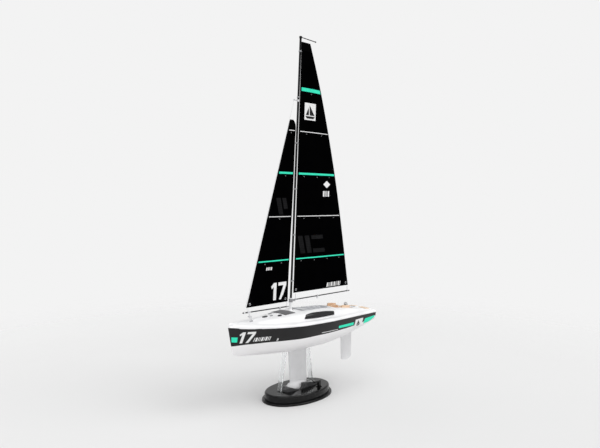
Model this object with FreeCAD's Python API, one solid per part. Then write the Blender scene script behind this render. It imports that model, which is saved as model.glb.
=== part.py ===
"""Small radio-controlled sailing yacht on its display stand.

Frame: +X is the bow, +Y is port, +Z is up, millimetres.  The origin is the middle of the
stand's underside.  Each piece is one closed solid, or a few identical ones, in its own file.
"""
import FreeCAD, Part
import math
import os

from FreeCAD import Vector

os.makedirs("parts", exist_ok=True)

# ---------------------------------------------------------------- driving dimensions
SHELL = 1.3                 # moulded wall of hull and deck
BODY_GAP = 0.35             # air between pieces that move apart

# Lines plan, each as (X, value) from stern to bow: half beam and height of the sheer,
# height of the keel line, rake of the stem, and how far the sections turn from U to V.
HALF_BEAM = ((-139, 30.2), (-100, 34.6), (-60, 39.4), (-20, 42.4), (20, 41.6), (50, 35.4), (80, 24.8),
             (100, 16.2), (113, 8.0), (122, 1.0))
SHEER = ((-139, 105.2), (-60, 107.4), (-20, 108.2), (50, 109.8), (100, 112.4), (122, 114.3))
KEEL = ((-139, 87.6), (-100, 77.8), (-60, 71.4), (-20, 68.6), (20, 68.4), (60, 70.4), (100, 74.0),
        (113, 75.8), (122, 81.5))
STEM_RAKE = ((-139, 0), (50, 0), (80, 2), (100, 4), (122, 6))
VEE = ((-139, 0), (30, 0), (80, 0.6), (113, 1), (122, 1))
STERN = -139.0
BOW = 122.0

# Deck, as (X, value): its upright edge above the sheer, and the coachroof's rise and half width.
DECK_EDGE = ((-139, 2.4), (60, 2.8), (100, 3.6), (122, 3.8))
DECK_CROWN = 2.6            # rise of the side deck towards the middle
ROOF_HEIGHT = ((-139, 0.6), (-125, 1.4), (-105, 4.0), (-70, 7.6), (-45, 9.6), (-10, 9.8), (20, 9.0),
               (60, 5.2), (79, 2.2), (86, 0.0), (122, 0.0))
ROOF_HALF = ((-139, 20.0), (-105, 23.5), (-70, 26.5), (-45, 29.0), (-10, 29.5), (20, 27.0), (60, 18.0),
             (80, 12.0), (122, 8.0))

MAST_FOOT = Vector(13.9, 0, 121.0)       # mast axis where it meets the coachroof
MAST_HEAD = Vector(-6.3, 0, 503.0)
MAST_RADIUS = 1.5
STEP_DEPTH = 46.0                        # mast below the coachroof
COLLAR_RADIUS = 2.15
COLLAR_TOP = 19.0                        # along the mast, from MAST_FOOT

MAIN_BOOM_FORE = Vector(9.2, 0, 137.0)
MAIN_BOOM_AFT = Vector(-110.7, 0, 137.8)
JIB_BOOM_FORE = Vector(98.3, 0, 129.9)
JIB_BOOM_AFT = Vector(18.4, 0, 128.9)
BOOM_RADIUS = 0.8
SAIL_THICK = 0.4
HOUND = Vector(6.6, 0, 414.8)            # where the forestay meets the mast fitting
DECK_EYE = Vector(87.7, 0, 124.0)        # the jib's lower pivot
STAY_FOOT = Vector(96.2, 0, 130.9)

MAST_LENGTH = (MAST_HEAD - MAST_FOOT).Length
RUN_FIT = 0.05                           # radial clearance of anything that turns on a shaft
RING_COUNT = 6                           # luff rings on the mast, measured along it
RING_FIRST = 42.0
RING_STEP = 64.0
RING_HIGH = 1.8
LUFF_FOOT_GAP = 4.6                      # mast axis to the sail's luff, at foot and head
LUFF_HEAD_GAP = 2.3
PANE = 0.55                              # how far the side windows stand proud

FIN_TOP = (18.9, -16.8)                  # leading and trailing edge at the hull
FIN_FOOT = (14.6, -17.6)
FIN_THICK = 4.6
FIN_BOTTOM = 15.0
BULB_NOSE = 21.0
BULB_TAIL = -18.5
BULB_RADIUS = 7.5
BULB_Z = 14.6

RUDDER_X = -103.0                        # stock axis
RUDDER_GAP = 1.0                          # blade's top edge to the hull's bottom
RUDDER_BOTTOM = 32.5
RUDDER_LOFT_TOP = 86.0                    # above the highest point of the blade
STOCK_RADIUS = 1.0
TILLER_Z = 99.0
LINK_ARM = 8.0                           # tiller and servo arm, hole to shaft

BASE_X = 57.0                            # half length and width of the stand's foot
BASE_Y = 37.5
BASE_ROUND = 2.1                          # a superellipse's power; 2 is an ellipse
TABLE_INSET = 3.6
TABLE_WALL = 2.2
BASE_TOP = 12.5
FLANGE = 2.8
CUP_FLOOR = 5.0
POST_WIDTH = 7.0
POST_THICK = 2.2

TRAY_Z = 88.0
TRAY_THICK = 1.5
RUDDER_SERVO_X = -65.0                   # output shaft of the rudder servo
SAIL_SERVO_X = -22.0                     # output shaft of the sail servo
SAIL_ARM_Z = 108.0
SWITCH_X = -34.0                          # middle of the power switch
# each servo: shaft X, case length and width, case bottom and top, top of the shaft boss
RUDDER_SERVO = (RUDDER_SERVO_X, 20.0, 8.6, 79.0, 95.5, TILLER_Z - 0.2)
SAIL_SERVO = (SAIL_SERVO_X, 23.0, 12.0, 80.0, 104.0, SAIL_ARM_Z - 0.2)


# ---------------------------------------------------------------- helpers
def save(name, shape):
    """Write one node as STEP, and say what it is."""
    shape.exportStep("parts/%s.step" % name)
    print("%-22s valid=%s solids=%d volume=%.1f" % (name, shape.isValid(), len(shape.Solids), shape.Volume))


def box(x0, x1, y0, y1, z0, z1):
    return Part.makeBox(x1 - x0, y1 - y0, z1 - z0, Vector(x0, y0, z0))


def rod(start, end, radius):
    return Part.makeCylinder(radius, (end - start).Length, start, end - start)


def upright(x, y, z0, z1, radius):
    return Part.makeCylinder(radius, z1 - z0, Vector(x, y, z0))


def ball(centre, radius):
    return Part.makeSphere(radius, centre)


def fused(shapes):
    whole = shapes[0]
    for shape in shapes[1:]:
        whole = whole.fuse(shape)
    return whole.removeSplitter()


def mirrored(shape):
    return shape.mirror(Vector(0, 0, 0), Vector(0, 1, 0))


def spline(points, closed=False):
    curve = Part.BSplineCurve()
    curve.interpolate(points, PeriodicFlag=closed)
    return curve.toShape()


def polygon_prism(points, direction):
    """Straight-sided prism on a flat outline."""
    wire = Part.makePolygon(list(points) + [points[0]])
    return Part.Face(wire).extrude(direction)


def oval_prism(half_x, half_y, z0, z1, squareness=2.6, x=0.0, y=0.0):
    """Upright prism on a rounded-square oval (a superellipse)."""
    count = 32
    points = []
    for step in range(count):
        angle = 2 * math.pi * step / count
        c, s = math.cos(angle), math.sin(angle)
        points.append(Vector(
            x + half_x * math.copysign(abs(c) ** (2 / squareness), c),
            y + half_y * math.copysign(abs(s) ** (2 / squareness), s), z0))
    return Part.Face(Part.Wire(spline(points, True))).extrude(Vector(0, 0, z1 - z0))


def smooth(keys, x):
    """Value at X on the smooth, never overshooting curve through (X, value) keys."""
    x = min(max(x, keys[0][0]), keys[-1][0])
    steps = [(b[1] - a[1]) / (b[0] - a[0]) for a, b in zip(keys, keys[1:])]
    slopes = [steps[0]]
    for before, after in zip(steps, steps[1:]):
        slopes.append(0.0 if before * after <= 0 else 2 * before * after / (before + after))
    slopes.append(steps[-1])
    index = 0
    while index < len(steps) - 1 and x > keys[index + 1][0]:
        index += 1
    (x0, v0), (x1, v1) = keys[index], keys[index + 1]
    span = x1 - x0
    t = (x - x0) / span
    return (v0 * (2 * t**3 - 3 * t**2 + 1) + slopes[index] * span * (t**3 - 2 * t**2 + t)
            + v1 * (3 * t**2 - 2 * t**3) + slopes[index + 1] * span * (t**3 - t**2))


def stations(fore, aft, step):
    """X of each section, evenly spaced."""
    count = round((fore - aft) / step)
    return [aft + (fore - aft) * i / count for i in range(count + 1)]


def on_mast(shape):
    """Move a shape made on the local Z axis onto the raked mast, zero at MAST_FOOT."""
    lean = math.degrees(math.atan2(MAST_HEAD.x - MAST_FOOT.x, MAST_HEAD.z - MAST_FOOT.z))
    moved = shape.copy()
    moved.Placement = FreeCAD.Placement(MAST_FOOT, FreeCAD.Rotation(Vector(0, 1, 0), lean))
    return moved


def mast_point(height):
    """The mast axis at a height above the ground."""
    part = (height - MAST_FOOT.z) / (MAST_HEAD.z - MAST_FOOT.z)
    return MAST_FOOT + (MAST_HEAD - MAST_FOOT) * part


# ---------------------------------------------------------------- hull and deck
def hull_section(x, inset, lift):
    """Closed section of the hull: bilge curve, and a straight line across the sheer."""
    beam = max(smooth(HALF_BEAM, x) - inset, 0.3)
    sheer = smooth(SHEER, x) + lift
    keel = smooth(KEEL, x) + inset * 1.15
    rake = smooth(STEM_RAKE, x)
    vee = smooth(VEE, x)
    half = []
    for fraction, full, sharp in ((0.0, 1.0, 1.0), (0.30, 0.985, 0.88), (0.58, 0.915, 0.68),
                                  (0.82, 0.70, 0.44), (0.955, 0.36, 0.20)):
        half.append((beam * (full + vee * (sharp - full)), fraction))
    points = []
    for width, fraction in half + [(0.0, 1.0)] + [(-w, f) for w, f in reversed(half)]:
        points.append(Vector(x - rake * fraction, width, sheer - fraction * (sheer - keel)))
    return Part.Wire([spline(points), Part.makeLine(points[-1], points[0])])


def hull_solid(inset=0.0, lift=0.0):
    """The hull's moulded form, or the space inside it when inset."""
    sections = [hull_section(x, inset, lift) for x in stations(BOW, STERN, 13.0)]
    solid = Part.makeLoft(sections, True, False)
    if inset:
        solid = solid.common(box(STERN + SHELL, BOW - 6.0, -60, 60, 60, 140))
    return solid


def deck_section(x, inset, drop):
    """Closed section of the deck: edge, side deck, coachroof side and top."""
    beam = smooth(HALF_BEAM, x)
    sheer = smooth(SHEER, x)
    foot = min(smooth(ROOF_HALF, x), beam * 0.72)
    high = smooth(ROOF_HEIGHT, x) * min(1.0, beam / 12.0)
    crown = DECK_CROWN * min(1.0, beam / 25.0)
    edge = smooth(DECK_EDGE, x)
    slope = crown * (1 - foot / beam)
    half = [
        (beam, 0.0),
        (beam * 0.998, edge * 0.70),
        (beam - min(1.2, beam * 0.3), edge),
        (foot + (beam - foot) * 0.45, edge + slope * 0.55),
        (foot, edge + slope),
        (foot * 0.90, edge + slope + high * 0.55),
        (foot * 0.74, edge + slope + high * 0.88),
        (foot * 0.40, edge + slope + high + crown * 0.10),
    ]
    half.append((0.0, edge + slope + high + crown * 0.28))
    nose = 1.0 - min(1.0, beam / 14.0)
    rounded = []
    for step, (width, height) in enumerate(half):
        angle = math.pi / 2 * step / (len(half) - 1)
        rounded.append((width + nose * (beam * math.cos(angle) - width),
                        height + nose * (edge * math.sin(angle) - height)))
    points = []
    for width, height in rounded + [(-w, h) for w, h in reversed(rounded[:-1])]:
        inner = math.copysign(max(abs(width) - inset, 0.02 * abs(width)), width)
        z = sheer - drop if height == 0.0 else sheer + height - inset
        points.append(Vector(x, inner, z))
    return Part.Wire([spline(points), Part.makeLine(points[-1], points[0])])


def deck_solid(inset=0.0, drop=0.6):
    """The deck's moulded form, or the space under it when inset."""
    sections = [deck_section(x, inset, drop) for x in stations(BOW - 0.2, STERN, 8.7)]
    solid = Part.makeLoft(sections, True, False)
    if inset:
        solid = solid.common(box(STERN + SHELL, BOW - 12.0, -60, 60, 60, 160))
    return solid


def recess_tool(grow=0.0):
    """Shallow slide well in the coachroof, from the mast aft, deepening to the cockpit."""
    outline = [Vector(6 + grow, 0, 123.2 - grow), Vector(-58 - grow, 0, 117.2 - grow),
               Vector(-58 - grow, 0, 140), Vector(6 + grow, 0, 140)]
    half = 13.0 + grow
    outline = [Vector(p.x, -half, p.z) for p in outline]
    return polygon_prism(outline, Vector(0, 2 * half, 0))


def cockpit_tool(grow=0.0):
    """Cockpit well, with rounded corners."""
    well = box(-107.0 - grow, -61.0 + grow, -15.0 - grow, 15.0 + grow, 111.8 - grow, 140)
    uprights = [e for e in well.Edges if abs(e.tangentAt(e.FirstParameter).z) > 0.99]
    return well.makeFillet(4.0 + grow, uprights)


# ---------------------------------------------------------------- hull fittings
def deck_top(x, y, deck):
    """Height of the deck's outer face at a point."""
    line = Part.makeLine(Vector(x, y, 100), Vector(x, y, 150))
    return max(v.Z for v in deck.common(line).Vertexes)


def cabin_window(deck_form):
    """Dark pane on the coachroof's port flank, pointed towards the bow."""
    inside = 19.0
    top = [Vector(12.6, inside, 114.2), Vector(8.0, inside, 118.9), Vector(0.0, inside, 119.9),
           Vector(-15.0, inside, 120.0), Vector(-35.0, inside, 118.9), Vector(-47.5, inside, 117.4)]
    foot = [Vector(-46.0, inside, 112.8), Vector(-22.0, inside, 112.9), Vector(-2.6, inside, 113.4)]
    edge = Part.Wire([Part.makeLine(top[0], top[1]), spline(top[1:]), Part.makeLine(top[-1], foot[0]),
                      spline(foot + [top[0]])])
    prism = Part.Face(edge).extrude(Vector(0, 30, 0))
    raised = deck_form.copy()
    raised.translate(Vector(0, PANE, PANE))
    return prism.common(raised).cut(deck_form)


def layer_on(deck_form, prism, thick):
    """The layer of an upright prism that lies just on the deck's outer face."""
    raised = deck_form.copy()
    raised.translate(Vector(0, 0, thick))
    return prism.common(raised).cut(deck_form)


def keel_fin():
    """Tapered fin with a rounded leading edge and a fine trailing edge."""
    sections = []
    for z, (fore, aft) in ((FIN_BOTTOM, FIN_FOOT), (72.0, FIN_TOP)):
        sections.append(foil_wire(fore, aft, z, FIN_THICK))
    return Part.makeLoft(sections, True, False)


def foil_wire(fore, aft, z, thick):
    """Symmetrical foil section on a level plane."""
    chord = fore - aft
    upper = []
    for part, width in ((0.0, 0.0), (0.03, 0.42), (0.12, 0.80), (0.30, 1.0), (0.60, 0.78), (1.0, 0.16)):
        upper.append(Vector(fore - part * chord, thick / 2 * width, z))
    lower = [Vector(p.x, -p.y, p.z) for p in reversed(upper[1:])]
    return Part.Wire([spline(lower + upper), Part.makeLine(upper[-1], lower[0])])


def ballast_bulb():
    """Torpedo on the fin's foot."""
    long = BULB_NOSE - BULB_TAIL
    half = []
    for part, width in ((0.0, 0.0), (0.03, 0.38), (0.12, 0.72), (0.30, 0.97), (0.45, 1.0), (0.70, 0.84),
                        (0.90, 0.46), (1.0, 0.14)):
        half.append(Vector(BULB_NOSE - part * long, 0, BULB_Z + BULB_RADIUS * width))
    tail = Vector(BULB_TAIL, 0, BULB_Z)
    edge = Part.Wire([spline(half), Part.makeLine(half[-1], tail), Part.makeLine(tail, half[0])])
    return Part.Face(edge).revolve(Vector(0, 0, BULB_Z), Vector(1, 0, 0), 360)


def rudder_blade():
    """Foil blade with rounded lower corners, its top edge following the hull's bottom."""
    sections = []
    for z, fore, aft in ((RUDDER_BOTTOM, -92.5, -114.8), (RUDDER_LOFT_TOP, -91.0, -116.6)):
        sections.append(foil_wire(fore, aft, z, 4.2))
    blade = Part.makeLoft(sections, True, False)
    low = RUDDER_BOTTOM
    fore, aft = -88.5, -119.0
    top_fore = smooth(KEEL, fore) - RUDDER_GAP
    top_aft = smooth(KEEL, aft) - RUDDER_GAP
    outline = Part.Wire([
        Part.makeLine(Vector(fore, -5, top_fore), Vector(fore, -5, low + 9)),
        Part.Arc(Vector(fore, -5, low + 9), Vector(-94.5, -5, low + 1.8), Vector(-103, -5, low)).toShape(),
        Part.Arc(Vector(-103, -5, low), Vector(-112.0, -5, low + 1.8), Vector(aft, -5, low + 9)).toShape(),
        Part.makeLine(Vector(aft, -5, low + 9), Vector(aft, -5, top_aft)),
        Part.makeLine(Vector(aft, -5, top_aft), Vector(fore, -5, top_fore))])
    blade = blade.common(Part.Face(outline).extrude(Vector(0, 10, 0)))
    return blade.cut(upright(RUDDER_X, 0, RUDDER_BOTTOM + 12, 90, STOCK_RADIUS))


# ---------------------------------------------------------------- rig
def sail(points, curved_from, curved_to):
    """Flat sail panel on the centre plane; the points from one index to the other are a curve."""
    edges = []
    count = len(points)
    index = 0
    while index < count:
        if index == curved_from:
            edges.append(spline(points[curved_from:curved_to + 1]))
            index = curved_to
        else:
            edges.append(Part.makeLine(points[index], points[(index + 1) % count]))
            index += 1
    panel = Part.Face(Part.Wire(edges)).extrude(Vector(0, SAIL_THICK, 0))
    panel.translate(Vector(0, -SAIL_THICK / 2, 0))
    return panel


def main_sail():
    """Nearly triangular panel with a full, curved leech."""
    luff_head = mast_point(497.6) + Vector(-LUFF_HEAD_GAP, 0, 0)
    luff_foot = mast_point(145.2) + Vector(-LUFF_FOOT_GAP, 0, 0)
    leech = [Vector(-107.6, 0, 145.6), Vector(-99.7, 0, 194.2), Vector(-89.4, 0, 253.6),
             Vector(-77.4, 0, 313.4), Vector(-63.4, 0, 372.6), Vector(-47.3, 0, 431.6),
             Vector(-24.6, 0, 498.6)]
    return sail([luff_foot] + leech + [luff_head], 1, len(leech))


def jib_sail():
    """Three-cornered headsail with a slightly hollow leech and a small rounded head."""
    leech = [Vector(19.6, 0, 135.7), Vector(15.9, 0, 192.3), Vector(11.4, 0, 252.2), Vector(7.2, 0, 312.9),
             Vector(3.5, 0, 372.6), Vector(4.6, 0, 383.6), Vector(10.4, 0, 388.2), Vector(14.4, 0, 387.0)]
    return sail([Vector(92.9, 0, 135.0)] + leech, 1, len(leech))


def mast_rings():
    """Rings that hold the mainsail's luff to the mast, each with a small tab to the sail."""
    rings = []
    for step in range(RING_COUNT):
        height = RING_FIRST + step * RING_STEP
        sleeve = Part.makeCylinder(MAST_RADIUS + 0.6, RING_HIGH, Vector(0, 0, height))
        hole = Part.makeCylinder(MAST_RADIUS + RUN_FIT, RING_HIGH + 1, Vector(0, 0, height - 0.5))
        reach = LUFF_FOOT_GAP + (LUFF_HEAD_GAP - LUFF_FOOT_GAP) * height / MAST_LENGTH
        tab = box(-reach, -MAST_RADIUS, -0.5, 0.5, height, height + RING_HIGH)
        rings.append(on_mast(sleeve.fuse(tab).cut(hole)))
    return Part.makeCompound(rings)


def mast_tube():
    """Carbon tube from its step in the hull to the masthead, with a plugged top."""
    return on_mast(Part.makeCylinder(MAST_RADIUS, MAST_LENGTH + STEP_DEPTH, Vector(0, 0, -STEP_DEPTH)))


def mast_collar(deck_form):
    """White socket the mast stands in, through the coachroof, with a flared foot on the roof."""
    tube = Part.makeCylinder(COLLAR_RADIUS, COLLAR_TOP + 4.0, Vector(0, 0, -4.0))
    foot = Part.makeCone(4.6, COLLAR_RADIUS, 3.4, Vector(0, 0, 0.4))
    hole = Part.makeCylinder(MAST_RADIUS, COLLAR_TOP + 12, Vector(0, 0, -8))
    return on_mast(foot).cut(deck_form).fuse(on_mast(tube)).cut(on_mast(hole))


def mast_step():
    """Cup on the hull's floor that holds the mast's heel."""
    cup = Part.makeCylinder(3.4, 12.0, Vector(0, 0, -STEP_DEPTH - 2.0))
    hole = Part.makeCylinder(MAST_RADIUS, 12.0, Vector(0, 0, -STEP_DEPTH))
    foot = Part.makeCylinder(6.0, 3.5, Vector(0, 0, -STEP_DEPTH - 5.0))
    return on_mast(cup.fuse(foot).cut(hole))


def masthead_crane():
    """Thin rod aft from the masthead, with a cap on the mast and a small ball at its tip."""
    root = mast_point(503.2)
    tip = Vector(-36.2, 0, 501.8)
    cap = on_mast(Part.makeCylinder(MAST_RADIUS + 0.5, 2.6, Vector(0, 0, MAST_LENGTH - 1.4)))
    tube = on_mast(Part.makeCylinder(MAST_RADIUS, 10.0, Vector(0, 0, MAST_LENGTH - 10.0)))
    return fused([cap, rod(root, tip, 0.6), ball(tip, 1.0)]).cut(tube)


def hound_fitting():
    """Silvery ring on the mast with a forward eye for the forestay."""
    height = HOUND.z - MAST_FOOT.z
    ring = Part.makeCylinder(MAST_RADIUS + 0.7, 3.0, Vector(0, 0, height - 1.5))
    hole = Part.makeCylinder(MAST_RADIUS, 6.0, Vector(0, 0, height - 3))
    lug = on_mast(ring).fuse(rod(mast_point(HOUND.z), Vector(HOUND.x - 1.0, 0, HOUND.z), 0.5))
    eye = Part.makeTorus(1.1, 0.4, HOUND, Vector(0, 1, 0))
    return lug.fuse(eye).cut(on_mast(hole))


def gooseneck():
    """Collar that turns on the mast socket and carries the main boom."""
    low, high = 13.4, 17.8
    sleeve = Part.makeCylinder(COLLAR_RADIUS + 0.7, high - low, Vector(0, 0, low))
    hole = Part.makeCylinder(COLLAR_RADIUS + RUN_FIT, high - low + 2, Vector(0, 0, low - 1))
    cheek = box(-7.2, -COLLAR_RADIUS, -1.5, 1.5, low + 1.0, high - 1.0)
    boom = rounded_rod(MAIN_BOOM_FORE, MAIN_BOOM_AFT, BOOM_RADIUS)
    return on_mast(sleeve.fuse(cheek).cut(hole)).cut(boom)


def rounded_rod(start, end, radius):
    return fused([rod(start, end, radius), ball(start, radius), ball(end, radius)])


def boom_ties(boom, corners):
    """Short upright wires from a boom to the corners of its sail, with a band on the boom."""
    ties = []
    for corner in corners:
        foot = Vector(corner.x, 0, boom[0].z + (boom[1].z - boom[0].z) * (boom[0].x - corner.x)
                      / (boom[0].x - boom[1].x))
        band = rod(foot - Vector(1.0, 0, 0), foot + Vector(1.0, 0, 0), BOOM_RADIUS + 0.45)
        stem = rod(foot, corner, 0.35)
        ties.append(band.fuse(stem).cut(rod(boom[0], boom[1], BOOM_RADIUS)))
    return Part.makeCompound(ties)


def sheet_eye(boom, x):
    """Band with a small eye under a boom, where its sheet is tied."""
    foot = Vector(x, 0, boom[0].z + (boom[1].z - boom[0].z) * (boom[0].x - x) / (boom[0].x - boom[1].x))
    band = rod(foot - Vector(1.4, 0, 0), foot + Vector(1.4, 0, 0), BOOM_RADIUS + 0.5)
    eye = Part.makeTorus(1.2, 0.4, foot - Vector(0, 0, BOOM_RADIUS + 1.5), Vector(0, 1, 0))
    return band.fuse(eye).cut(rod(boom[0], boom[1], BOOM_RADIUS))


def jib_swivel():
    """Clip on the jib boom whose stem hangs in the deck eye, ending in a small ball."""
    boom_z = JIB_BOOM_FORE.z - 0.13
    top = Vector(DECK_EYE.x, 0, boom_z)
    band = rod(top - Vector(1.5, 0, 0), top + Vector(1.5, 0, 0), BOOM_RADIUS + 0.5)
    stem = rod(top, Vector(DECK_EYE.x, 0, DECK_EYE.z - 1.6), 0.4)
    bob = ball(Vector(DECK_EYE.x, 0, DECK_EYE.z - 1.6), 0.9)
    return fused([band, stem, bob]).cut(rod(JIB_BOOM_FORE, JIB_BOOM_AFT, BOOM_RADIUS))


def deck_eye(deck_form):
    """Eye on the foredeck: a level ring on a stalk, standing on a small pad."""
    ring = Part.makeTorus(1.9, 0.45, DECK_EYE, Vector(0, 0, 1))
    stalk_x = DECK_EYE.x - 2.9
    arm = rod(Vector(DECK_EYE.x - 1.9, 0, DECK_EYE.z), Vector(stalk_x, 0, DECK_EYE.z), 0.45)
    stalk = upright(stalk_x, 0, 112.0, DECK_EYE.z + 0.3, 0.6)
    pad = layer_on(deck_form, upright(stalk_x, 0, 100, 130, 2.4), 0.9)
    return fused([ring, arm, stalk.cut(deck_form), pad])


def forestay():
    """Wire ahead of the jib's luff, from the boom's nose up to the hound."""
    top = HOUND - Vector(-0.45, 0, 2.0)
    band_x = STAY_FOOT.x
    foot = Vector(band_x, 0, JIB_BOOM_FORE.z - 0.05)
    band = rod(foot - Vector(0.9, 0, 0), foot + Vector(0.9, 0, 0), BOOM_RADIUS + 0.45)
    return band.fuse(rod(foot, top, 0.3)).cut(rod(JIB_BOOM_FORE, JIB_BOOM_AFT, BOOM_RADIUS))


# ---------------------------------------------------------------- inside the hull
def servo(shaft_x, length, width, low, high, shaft_top):
    """Small servo standing on its tray: case, mounting ears and output boss."""
    rear = shaft_x + length * 0.28
    case = box(rear - length, rear, -width / 2, width / 2, low, high)
    case = case.makeFillet(0.6, case.Edges)
    ears = box(rear - length - 4.0, rear + 4.0, -width / 2, width / 2, TRAY_Z + TRAY_THICK,
               TRAY_Z + TRAY_THICK + 1.4)
    boss = upright(shaft_x, 0, high - 1, shaft_top, 1.9)
    return fused([case, ears, boss])


def servo_arm(shaft_x, z, reach, side, radius):
    """Thin arm on a servo's shaft with a row of small holes."""
    hub = upright(shaft_x, 0, z - 1.0, z + 1.4, 2.6)
    blade = box(shaft_x - radius, shaft_x + radius, 0, reach, z, z + 1.2)
    tip = upright(shaft_x, reach, z, z + 1.2, radius)
    arm = fused([hub, blade, tip])
    for step in range(3):
        arm = arm.cut(upright(shaft_x, reach - 2.6 * step, z - 2, z + 3, 0.55))
    arm = arm.cut(upright(shaft_x, 0, z - 2, z - 0.2, 1.95))
    return arm if side > 0 else mirrored(arm)


def tiller():
    """Arm clamped on the rudder stock."""
    hub = upright(RUDDER_X, 0, TILLER_Z - 1.5, TILLER_Z + 2.7, 3.0)
    blade = box(RUDDER_X - 1.8, RUDDER_X + 1.8, 0, LINK_ARM, TILLER_Z, TILLER_Z + 1.2)
    tip = upright(RUDDER_X, LINK_ARM, TILLER_Z, TILLER_Z + 1.2, 1.8)
    arm = fused([hub, blade, tip])
    arm = arm.cut(upright(RUDDER_X, LINK_ARM, TILLER_Z - 3, TILLER_Z + 5, 0.95))
    return arm.cut(upright(RUDDER_X, 0, TILLER_Z - 3, TILLER_Z + 5, STOCK_RADIUS))


def pushrod():
    """Wire from the servo arm to the tiller, its ends bent down into their holes."""
    z = TILLER_Z + 2.6
    fore, aft = RUDDER_SERVO_X, RUDDER_X
    run = rod(Vector(fore, LINK_ARM, z), Vector(aft, LINK_ARM, z), 0.4)
    fore_end = upright(fore, LINK_ARM, TILLER_Z - 0.8, z + 0.4, 0.5)
    aft_end = upright(aft, LINK_ARM, TILLER_Z - 0.8, z + 0.4, 0.4)
    return fused([run, fore_end, aft_end])


def rudder_stock():
    return upright(RUDDER_X, 0, RUDDER_BOTTOM + 12, TILLER_Z + 2.7, STOCK_RADIUS)


def rudder_tube(hull_outer):
    """Bearing tube for the stock, through the hull's skin."""
    tube = upright(RUDDER_X, 0, 70.0, TILLER_Z - 2.2, 2.2).common(hull_outer)
    flange = upright(RUDDER_X, 0, 82.0, 84.0, 4.0)
    return tube.fuse(flange).cut(upright(RUDDER_X, 0, 60, 110, STOCK_RADIUS + RUN_FIT))


def servo_tray():
    """Shelf across the hull with openings for both servos."""
    shelf = box(-90.0, 6.0, -19.0, 19.0, TRAY_Z, TRAY_Z + TRAY_THICK)
    for window in (RUDDER_SERVO, SAIL_SERVO):
        rear = window[0] + window[1] * 0.28
        shelf = shelf.cut(box(rear - window[1] - 0.2, rear + 0.2, -window[2] / 2 - 0.2, window[2] / 2 + 0.2,
                              TRAY_Z - 5, TRAY_Z + 5))
    return shelf


def tray_posts(hull_inner):
    """Pillars from the hull's floor to the tray."""
    posts = []
    for x in (-84.0, -44.0, 0.0):
        for y in (-14.0, 14.0):
            posts.append(upright(x, y, 60, TRAY_Z, 2.4).common(hull_inner))
    return Part.makeCompound(posts)


def tray_screws():
    """Six pan-head screws, tray to pillars."""
    screws = []
    for x in (-84.0, -44.0, 0.0):
        for y in (-14.0, 14.0):
            screws.append(upright(x, y, TRAY_Z + TRAY_THICK, TRAY_Z + TRAY_THICK + 1.0, 1.9))
    return Part.makeCompound(screws)


def servo_screws():
    """Two screws in the ears of each servo."""
    screws = []
    for shaft_x, length, width, low, high, top in (RUDDER_SERVO, SAIL_SERVO):
        rear = shaft_x + length * 0.28
        for x in (rear - length - 2.1, rear + 2.1):
            z = TRAY_Z + TRAY_THICK + 1.4
            screws.append(upright(x, 0, z, z + 0.9, 1.3))
    return Part.makeCompound(screws)


def battery_cells():
    """Four small cells lying fore and aft in two layers."""
    cells = []
    for y in (-5.35, 5.35):
        for z in (80.2, 90.9):
            body = rod(Vector(25.0, y, z), Vector(67.5, y, z), 5.2)
            button = rod(Vector(67.5, y, z), Vector(68.6, y, z), 1.9)
            cells.append(body.fuse(button))
    return Part.makeCompound(cells)


def battery_holder():
    """Open-topped tray that holds the cells, with end walls."""
    holder = box(22.8, 71.0, -12.2, 12.2, 73.6, 86.0)
    space = box(24.2, 69.6, -10.7, 10.7, 74.9, 100)
    return holder.cut(space)


def receiver_board():
    """Radio board lying on the tray, with its chip, crystal can and connector block."""
    z = TRAY_Z + TRAY_THICK
    board = box(-40.0, -12.0, 8.5, 18.5, z + 1.0, z + 2.2)
    chip = box(-30, -23, 10.5, 16.5, z + 2.2, z + 3.6)
    can = box(-20.5, -16.5, 11, 15, z + 2.2, z + 4.8)
    plug = box(-39, -34, 9.5, 17.5, z + 2.2, z + 7.0)
    pads = [box(x, x + 2, 12, 15, z, z + 1.0) for x in (-38, -16)]
    return fused([board, chip, can, plug] + pads)


def switch_body():
    """Slide switch on the tray, starboard of the servos, its slot open upward."""
    z = TRAY_Z + TRAY_THICK
    body = box(SWITCH_X - 7.0, SWITCH_X + 7.0, -17.5, -11.0, z, z + 6.0)
    return body.cut(box(SWITCH_X - 4.5, SWITCH_X + 4.5, -15.8, -12.7, z + 2.0, z + 10))


def switch_slider():
    """The switch's knob, at the off end of its slot."""
    z = TRAY_Z + TRAY_THICK
    foot = box(SWITCH_X - 4.2, SWITCH_X + 1.0, -15.5, -13.0, z + 2.3, z + 5.0)
    knob = box(SWITCH_X - 3.2, SWITCH_X, -15.3, -13.2, z + 5.0, z + 8.5)
    return foot.fuse(knob).removeSplitter()


def keel_stud():
    """Threaded rod from the fin up through the hull's floor."""
    return upright(0.5, 0, 57.0, 83.0, 1.5)


def keel_nut(hull_inner):
    """Washer plate and nut that pull the fin up against the hull."""
    pad = box(-9.0, 10.0, -6.0, 6.0, 60.0, 73.5).common(hull_inner)
    points = [Vector(0.5 + 3.2 * math.cos(math.pi * k / 3), 3.2 * math.sin(math.pi * k / 3), 73.5)
              for k in range(6)]
    nut = polygon_prism(points, Vector(0, 0, 2.6))
    return pad.fuse(nut).cut(upright(0.5, 0, 50, 90, 1.5))


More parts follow.
